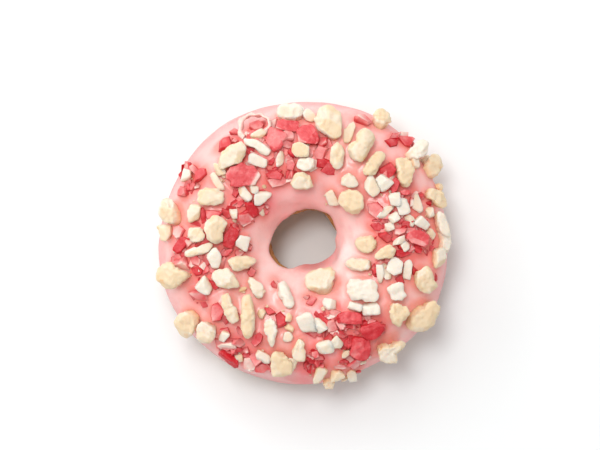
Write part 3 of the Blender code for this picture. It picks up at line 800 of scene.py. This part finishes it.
def small_lumps(rows, ball, cuts, dice):
    """Lumps of broken nut: a rounded block's six sides and some cuts, each cut at a random
    share of the way to the block's own reach, which along a direction is its three parts times
    the half sizes, raised to a power, summed and rooted."""
    rows = np.array(rows, float)
    height = np.clip(0.8 * rows[:, 3] * MM, 0.4 * MM, 3.4 * MM)
    place, front, side, up = seat(rows, height, 0.12, dice)
    sizes = np.column_stack([rows[:, 2:4] * MM, height]) / 2
    axes = np.repeat(np.eye(3), 2, axis=0) * np.tile((1, -1), 3)[:, None]
    steady = unit(axes + dice.normal(size=(len(rows), 6, 3)) * 0.12)
    count, deepest = cuts
    broken = unit(dice.normal(size=(len(rows), count, 3)))
    normals = np.concatenate([steady, broken], axis=1)
    power = 1.4
    distances = (np.abs(normals * sizes[:, None]) ** power).sum(axis=-1) ** (1 / power)
    distances[:, 6:] *= dice.uniform(deepest, 1.0, (len(rows), count))
    directions = ball_directions(*ball)
    shades = dice.normal(size=distances.shape)
    even = np.ones(distances.shape)
    out, shade = blob(directions, normals, distances, even, shades, CHIP_CRISPNESS)
    local = directions[None] * out[..., None]
    local = local * (1 + 0.025 * ripple(local, 1.6 * MM, SEED + 8))[..., None]
    middle = place + up * (height * 0.5)[:, None]
    points = to_world(local, middle, front, side, up)
    points = overhang(points, middle, unit(up + SKYWARD), 0.78, 1.12)
    return sink(points, middle, up, LUMP_SINK), shade, seats_of(place, front, side, sizes)


def small_flakes(rows, corners, lean, thin, dice):
    """Flakes of snapped chocolate: a many-cornered outline as a narrow foot, a full waist and
    a smaller, tilted top, all joined by flat sides. A flake is as thick as thin times its
    width. Each is painted paler on top and deeper at its foot, as painted light and shade."""
    rows = np.array(rows, float)
    height = np.clip(thin * rows[:, 3] * MM, 0.4 * MM, 2.0 * MM)
    height = height * dice.uniform(0.8, 1.3, len(rows))
    place, front, side, up = seat(rows, height, lean, dice)
    sizes = np.column_stack([rows[:, 2:4] * MM, height]) / 2
    bearing = (np.arange(corners) + dice.uniform(-0.4, 0.4, (len(rows), corners))) / corners * TURN
    wide = (np.abs(compass(bearing)) ** 3).sum(axis=-1)
    out = wide ** (-1 / 3) * dice.uniform(0.76, 1.2, bearing.shape)
    across = out[..., None] * compass(bearing) * sizes[:, None, :2]
    slope = dice.normal(size=(len(rows), 1, 2)) * 0.16
    levels = []
    for share, level in ((0.85, -1.0), (1.0, 0.3), (0.84, 1.0)):
        ring = across * share
        if level == 1.0:
            ring = ring * dice.uniform(0.85, 1.1, (len(rows), 1, 1))
        rise = level * sizes[:, 2:3] + (ring * slope).sum(axis=-1) * max(level, 0)
        levels.append(np.concatenate([ring, rise[..., None]], axis=-1))
    middle = place + up * (height * 0.5)[:, None]
    points = to_world(np.concatenate(levels, axis=1), middle, front, side, up)
    # Painted light and shade: each flake's top is paler and its foot deeper, plus a random shade at each
    # corner.
    shade = np.repeat((0.9, 0.4, -0.6), corners) + dice.normal(size=points.shape[:2]) * 0.7
    return sink(points, middle, up, FLAKE_SINK), shade, seats_of(place, front, side, sizes)


def flake_faces(corners):
    """The sides of a flake between its three outlines, and its flat top and foot."""
    index, sides = tube_faces(3, corners)
    return sides, np.stack([index[2], index[0][::-1]])


def to_world(local, middle, front, side, up):
    """Points given along each topping's front, side and up, as places."""
    return (middle[:, None] + local[..., :1] * front[:, None] + local[..., 1:2] * side[:, None]
            + local[..., 2:] * up[:, None])


def seats_of(place, front, side, sizes):
    """For each topping: its place, front and side, and its foot's half length and width."""
    return list(zip(place, front, side, sizes[:, 0] * FOOT_SHARE, sizes[:, 1] * FOOT_SHARE))


def crumb_rows(hosts, count, spread, small, large, tones, dice):
    """Rows for crumbs: each lies a random way from a random larger topping, near its edge."""
    host = np.array(hosts, float)[dice.integers(0, len(hosts), count)]
    bearing = dice.uniform(0, TURN, count)
    away = host[:, 3] / 2 + dice.exponential(spread, count)
    x, y = (host[:, :2] + away[:, None] * compass(bearing)).T
    length = small + (large - small) * dice.random(count) ** 2.5
    width = length * dice.uniform(0.5, 0.9, count)
    turn = dice.uniform(0, 180, count)
    return np.stack([x, y, length, width, turn, dice.uniform(*tones, count)], axis=-1)


def bed_rows(beds, dice):
    """Rows for the bits of broken chocolate that fill each oval bed."""
    rows = []
    for x, y, half_length, half_width, turn, count in beds:
        away = np.sqrt(dice.random(count))[:, None]
        inside = away * compass(dice.uniform(0, TURN, count)) * (half_length, half_width)
        front = compass(math.radians(turn))
        place = (x, y) + inside[:, :1] * front + inside[:, 1:] * (-front[1], front[0])
        length = 2.4 + 3.4 * dice.random(count)
        width = length * dice.uniform(0.5, 0.85, count)
        own_turn = dice.uniform(0, 180, count)
        tone = dice.choice(BED_TONES, count) + dice.normal(size=count) * 0.06
        rows.append(np.stack([*place.T, length, width, own_turn, tone], axis=-1))
    return np.concatenate(rows)


def gap_to_foot(points, middle, front, side, half_length, half_width):
    """How far points are from a topping's oval foot, in metres and below 0 inside it: their
    distance over the oval's own, less 1, times its lesser half."""
    away = points - middle
    far = np.sqrt(((away @ front) / half_length) ** 2 + ((away @ side) / half_width) ** 2)
    return (far - 1) * min(half_length, half_width)


# ---- the piece makers


def make_crust(finish):
    """The whole ring's skin, with blisters and grain. Below soft it is pressed flat: there its
    height falls towards 0 as soft times the exponential of height over soft, less 1."""
    rows, columns = 420, 150
    around = np.arange(rows) / rows * TURN
    turn = np.arange(columns) / columns * TURN
    around, turn = np.meshgrid(around, turn, indexing="ij")
    smooth = skin(around, turn, 0.0)
    blisters = ripple(smooth, 9 * MM, SEED) * 0.22 * MM
    grain = ripple(smooth, 2.5 * MM, SEED + 1) * 0.07 * MM
    points = skin(around, turn, blisters + grain - 0.25 * MM)
    height = points[..., 2]
    soft = 0.5 * MM
    pressed = np.where(height > soft, height, soft * np.exp(np.minimum(height / soft - 1, 0)))
    points[..., 2] = np.maximum(pressed - soft * 0.02, 0.0)
    make_piece("crust", points, [ring_faces(rows, columns)], finish, "crust",
               stands_for=("dough",))


def pools(points, rows):
    """How strongly points lie in round, soft-edged pools, seen from above: each pool's strength
    times the bell of the distance over its radius, summed."""
    total = np.zeros(points.shape[:-1])
    for x, y, radius, strength in rows:
        away = np.linalg.norm(points[..., :2] - laid((x, y)), axis=-1)
        total += strength * bell(away / (radius * MM))
    return total


def coat_edges(around):
    """The angles round the section where the coat starts, outside, and ends, at the throat:
    lobed, drawn back in places and a little uneven."""
    start = np.radians(lobed(around, OUTER_EDGE, OUTER_EDGE_LOBES))
    end = np.radians(lobed(around, INNER_EDGE, INNER_EDGE_LOBES))
    for bearing, spread, back in DRAWN_BACK:
        away = around - math.radians(bearing)
        end -= math.radians(back) * bell(away / math.radians(spread))
    circle = np.pad(compass(around[:, 0]), ((0, 0), (0, 1)))
    start = start + math.radians(1.2) * ripple(circle, 0.25, SEED)[:, None]
    end = end + math.radians(1.0) * ripple(circle, 0.35, SEED + 6)[:, None]
    return start, end


def coat_swell(base, turn, inset):
    """How much thicker than usual the coat is: two ripples and a bead along its edges, least
    where the ring is widest, where it is a little thinner."""
    swell = ripple(base, 16 * MM, SEED + 2) * 0.22 * MM + ripple(base, 7 * MM, SEED + 3) * 0.2 * MM
    bead = 0.35 * MM * bell((inset - 2.2 * MM) / (1.6 * MM))
    widest = 1 - smooth_step(np.abs(turn) / math.radians(42))
    return (swell + bead) * (1 - 0.8 * widest) - 0.2 * MM * widest


def coat_climb(base, feet):
    """1 where a topping stands on the coat, and the bell of the gap to the nearest foot round it,
    which comes to 0 a few millimetres away."""
    climb = np.zeros(base.shape[:-1])
    for foot in feet:
        gap = np.maximum(gap_to_foot(base, *foot), 0)
        climb = np.maximum(climb, bell(gap / (1.3 * MM)))
    return climb


def coat_tone(base, stains_and_bounce):
    """The chocolate's colour bleeding in, with painted bounce light, each the bell of the
    distance, and the pools, partly painted shade, added up to at most 1 and scaled, less
    the pools of painted sheen."""
    stain_and_painted_light = np.zeros(base.shape[:-1])
    for middle, strength in stains_and_bounce:
        away = np.linalg.norm(base - middle, axis=-1)
        stain_and_painted_light = stain_and_painted_light + strength * bell(away / (3.2 * MM))
    # Painted light: the sum holds painted bounce light round the chocolate and painted shade in the
    # pools.
    stain_and_painted_light = np.minimum(stain_and_painted_light + pools(base, ICING_POOLS), 1.0) * 0.75
    return stain_and_painted_light - pools(base, PAINTED_SHEEN_POOLS)


def make_icing(finish, feet, stains_and_bounce):
    """The coat: out over the ring between its wavy edges, where its rows lie closer, and back
    just under the crust's skin. It thins to a round edge, swells and dips, and climbs a little
    way up each topping."""
    rows, over, under = 640, 128, 10
    around = (np.arange(rows) / rows * TURN)[:, None]
    start, end = coat_edges(around)
    even = np.linspace(0, 1, over)
    eased = 0.5 - 0.5 * np.cos(math.pi * even)
    share = 0.5 * even + 0.5 * eased
    turn = start + (end - start) * share[None, :]
    around_grid = np.broadcast_to(around, turn.shape)
    arc = reach(around_grid, turn, 0.0)
    inset = np.minimum((turn - start) * arc, (end - turn) * arc)
    rim = np.clip(inset / EDGE_ROUND, 0, 1)
    base = skin(around_grid, turn, COAT)
    climb = coat_climb(base, feet)
    thick = COAT + coat_swell(base, turn, inset) + climb ** 2 * 0.3 * MM
    top = skin(around_grid, turn, thick * np.sqrt(1 - (1 - rim) ** 2) - 0.1 * MM)
    back_turn = start + (end - start) * np.linspace(1, 0, under + 2)[None, 1:-1]
    back = skin(np.broadcast_to(around, back_turn.shape), back_turn, -0.5 * MM)
    hidden = np.zeros(back_turn.shape)
    tone = np.concatenate([coat_tone(base, stains_and_bounce), hidden], axis=1)
    # The climb is also the mask of the painted shade round each topping.
    foot = np.concatenate([climb, hidden], axis=1)
    make_piece("icing_coat", np.concatenate([top, back], axis=1),
               [ring_faces(rows, over + under)], finish, "icing", tone, ("icing",), foot=foot)


def rounded(values, power):
    """Cosines or sines raised to a power, with their signs kept, as for a rounded square."""
    return np.sign(values) * np.abs(values) ** power


def make_curl(finish):
    """A curled flake: a ribbon stood on edge along a path that sweeps in from a tail and then
    round an uneven oval, with rounded edges and two closed ends."""
    middle = solid_sides(CURL)[1]
    up = unit(up_at(middle) + np.array([0.0, 0.0, 1.6]))
    aim = np.array([1.0, 0.15, 0.0])
    front = unit(aim - up * (aim @ up))
    side = np.cross(up, front)
    rows, columns = 120, 18
    tail, sweep_round = 232, 372
    share = np.linspace(0, 1, rows)[:, None]
    bearing = np.radians(tail - sweep_round * share)
    corner = (np.arange(columns) / columns * TURN)[None, :]
    wall = (0.68 + 0.17 * np.cos(bearing - 4.0)) * MM
    tall = (1.0 + 0.25 * np.cos(bearing - 1.0)) * MM
    across = wall * rounded(np.cos(corner), 0.8)
    rise = tall * rounded(np.sin(corner), 0.7)
    sweep = 1 + 0.32 * (1 - smooth_step(share / 0.16)) - 0.1 * smooth_step((share - 0.85) / 0.15)
    long_way = (4.5 * MM + 0.25 * MM * np.cos(3 * bearing)) * sweep + across
    short_way = (3.4 * MM + 0.2 * MM * np.cos(2 * bearing + 1.0)) * sweep + across
    ahead, aside = long_way * np.cos(bearing), short_way * np.sin(bearing)
    flat = ahead[..., None] * front + aside[..., None] * side
    lie = 0.35 * MM * np.cos(2 * bearing + 0.6)
    points = middle + flat + (rise + lie)[..., None] * up
    points = points + unit(flat) * (ripple(points, 2.2 * MM, SEED + 5) * 0.14 * MM)[..., None]
    index, sides = tube_faces(rows, columns)
    ends = np.stack([index[0][::-1], index[-1]])
    tone = np.full((rows, columns), 0.06) + 0.12 * (np.cos(corner) < -0.3)
    make_piece("curled_flake", points, [sides, ends], finish, "pink_chocolate", tone, (CURL,),
               foot=np.zeros(tone.shape))


def make_nut(node, number, finish):
    """A nut in place of its solid. Its points are returned."""
    x, y, tone, reaches = NUTS[number - 1]
    cuts = WHOLE_CUTS if number in ROUND_NUTS else BROKEN_CUTS
    points, shade = solid_topping(node, NUT_BALL, NUT_CRISPNESS, NUT_LUMPS, cuts, reaches,
                                  laid((x, y)), SEED + number)
    make_piece(f"nut_piece_{number:02d}", points, ball_faces(*NUT_BALL), finish, "nut",
               tone + shade * NUT_SHADES, (node,))
    return points


def make_shard(node, number, finish):
    """A shard in place of its solid, paler towards its pale edge. Its points are returned."""
    x, y, reaches = SHARD_OUTLINES.get(number, (0, 0, ()))
    mark = laid((x, y))
    points, shade = solid_topping(node, SHARD_BALL, SHARD_CRISPNESS, SHARD_LUMPS, SHARD_CUTS,
                                  reaches, mark, SEED + 50 + number)
    tone = SHARD_TONES.get(number, USUAL_SHARD) + shade * SHARD_SHADES
    ahead = (points[:, :2] - mark) @ np.array(PALE_EDGES.get(number, (0.0, 0.0)))
    tone = tone - 0.55 * smooth_step((ahead / max(ahead.max(), MM) - 0.62) / 0.2)
    make_piece(f"chocolate_shard_{number:02d}", points, ball_faces(*SHARD_BALL), finish,
               "pink_chocolate", tone, (node,))
    return points


def solid_seat(points):
    """A large topping's foot on the coat: its place, its front along its greatest length, its
    side, and its half length and width."""
    middle = points.mean(axis=0)
    up = up_at(middle)
    flat = (points - middle) - ((points - middle) @ up)[:, None] * up
    front = unit(np.linalg.svd(flat, full_matrices=False)[2][0])
    side = np.cross(up, front)
    half_length = np.abs(flat @ front).max() * FOOT_SHARE
    half_width = np.abs(flat @ side).max() * FOOT_SHARE
    return middle - up * float(clearance(middle, COAT)), front, side, half_length, half_width


def make_doughnut():
    """Every piece. The icing comes last, because it climbs round the toppings and takes their
    colour and painted bounce light.
    """
    crust = crust_finish()
    icing = icing_finish()
    nut = nut_finish()
    chocolate = chocolate_finish()
    feet = []
    stains_and_bounce = []
    for node in sorted(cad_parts):
        if node in ("dough", "icing", CURL):
            continue
        kind, number = node.split("_")
        if kind == "nut":
            points = make_nut(node, int(number), nut)
        else:
            points = make_shard(node, int(number), chocolate)
        foot = solid_seat(points)
        feet.append(foot)
        if kind in STAINS_AND_BOUNCE:
            stains_and_bounce.append((foot[0], STAINS_AND_BOUNCE[kind]))
    make_curl(chocolate)
    make_small(nut, chocolate, feet, stains_and_bounce)
    make_crust(crust)
    make_icing(icing, feet, stains_and_bounce)


def make_small(nut, chocolate, feet, stains_and_bounce):
    """The chips, bits and crumbs, one piece for each kind. The chips' feet join feet, and the
    chips and bits of chocolate join those whose colour and painted bounce light tint the icing."""
    dice = np.random.default_rng(SEED + 30)
    crumbs = crumb_rows(NUT_CHIPS, 120, 1.0, 0.5, 1.5, (0.3, 1.0), dice)
    for name, rows, ball, cuts in (("nut_chips", NUT_CHIPS, (32, 20), (8, 0.68)),
                                   ("nut_crumbs", crumbs, (9, 6), (4, 0.7))):
        points, shade, seats = small_lumps(rows, ball, cuts, dice)
        finish_small(name, rows, points, shade * NUT_SHADES, ball_faces(*ball), nut, "nut", True)
        if name == "nut_chips":
            feet.extend(seats)
    bits = bed_rows(SHARD_BEDS, dice)
    crumbs = crumb_rows(SHARD_CHIPS, 50, 0.4, 0.5, 1.4, (0.3, 0.7), dice)
    for name, rows, corners, lean, thin in (("chocolate_chips", SHARD_CHIPS, 6, 0.3, 0.55),
                                            ("chocolate_bits", bits, 5, 0.45, 0.25),
                                            ("chocolate_crumbs", crumbs, 5, 0.4, 0.5)):
        points, shade, seats = small_flakes(rows, corners, lean, thin, dice)
        finish_small(name, rows, points, shade * SHARD_SHADES, flake_faces(corners), chocolate,
                     "pink_chocolate", False)
        if name == "chocolate_chips":
            feet.extend(seats)
        if name in STAINS_AND_BOUNCE:
            stains_and_bounce.extend((foot[0], STAINS_AND_BOUNCE[name]) for foot in seats)


def finish_small(name, rows, points, shift, faces, finish, slot, smooth):
    """One mesh of all of a kind, each with its row's tone, shifted from point to point."""
    count, stride = points.shape[:2]
    tone = np.array(rows, float)[:, 5:6] + shift
    make_piece(name, points, [repeat_faces(face, count, stride) for face in faces], finish, slot,
               tone, smooth=smooth)


make_doughnut()

# ---- floor, light and camera


def make_floor():
    """A wide white surface under the doughnut."""
    wide = 2.5
    corners = [(-wide, -wide, 0), (wide, -wide, 0), (wide, wide, 0), (-wide, wide, 0)]
    mesh = bpy.data.meshes.new("floor")
    mesh.from_pydata(corners, [], [(0, 1, 2, 3)])
    floor = bpy.data.objects.new("floor", mesh)
    bpy.context.scene.collection.objects.link(floor)
    material = bpy.data.materials.new("white surface")
    material.use_nodes = True
    shader = material.node_tree.nodes["Principled BSDF"]
    shader.inputs["Base Color"].default_value = srgb(242, 244, 244)
    shader.inputs["Roughness"].default_value = 0.7
    mesh.materials.append(material)


def make_softbox(name, place, size, power):
    """A square light at a place, turned to the doughnut."""
    lamp = bpy.data.lights.new(name, "AREA")
    lamp.shape = "SQUARE"
    lamp.size = size
    lamp.energy = power
    holder = bpy.data.objects.new(name, lamp)
    holder.location = place
    aim = Vector((0, 0, EQUATOR)) - holder.location
    holder.rotation_euler = aim.to_track_quat("-Z", "Y").to_euler()
    bpy.context.scene.collection.objects.link(holder)


def make_light():
    """A steep light a little behind and to the left, a wide window farther that way, two
    dimmer lights from behind and from the left, and a white room."""
    make_softbox("key", (-0.18, 0.26, 1.2), 0.35, 6.3)
    make_softbox("window", (-0.9, 0.9, 0.6), 1.0, 5.2)
    make_softbox("back", (-0.1, 0.62, 0.9), 0.5, 2.2)
    make_softbox("left", (-0.95, 0.12, 0.85), 0.4, 1.2)
    world = bpy.data.worlds.new("room")
    bpy.context.scene.world = world
    world.use_nodes = True
    background = world.node_tree.nodes["Background"]
    background.inputs["Color"].default_value = (1.0, 1.0, 1.0, 1.0)
    background.inputs["Strength"].default_value = 0.55


def make_camera():
    """Straight above, a little off the doughnut's middle. The lens is as long to the sensor's
    width as the camera is far to the view's width."""
    aim = Vector((-1.3 * MM, 6.4 * MM, EQUATOR))
    distance = 0.9
    view_width = 189 * MM
    camera = bpy.data.cameras.new("camera")
    camera.sensor_width = 36
    camera.lens = camera.sensor_width * distance / view_width
    camera.clip_start = 0.01
    holder = bpy.data.objects.new("camera", camera)
    holder.location = aim + Vector((0, 0, distance))
    bpy.context.scene.collection.objects.link(holder)
    bpy.context.scene.camera = holder


make_floor()
make_light()
make_camera()
bpy.context.scene.view_settings.view_transform = "Standard"
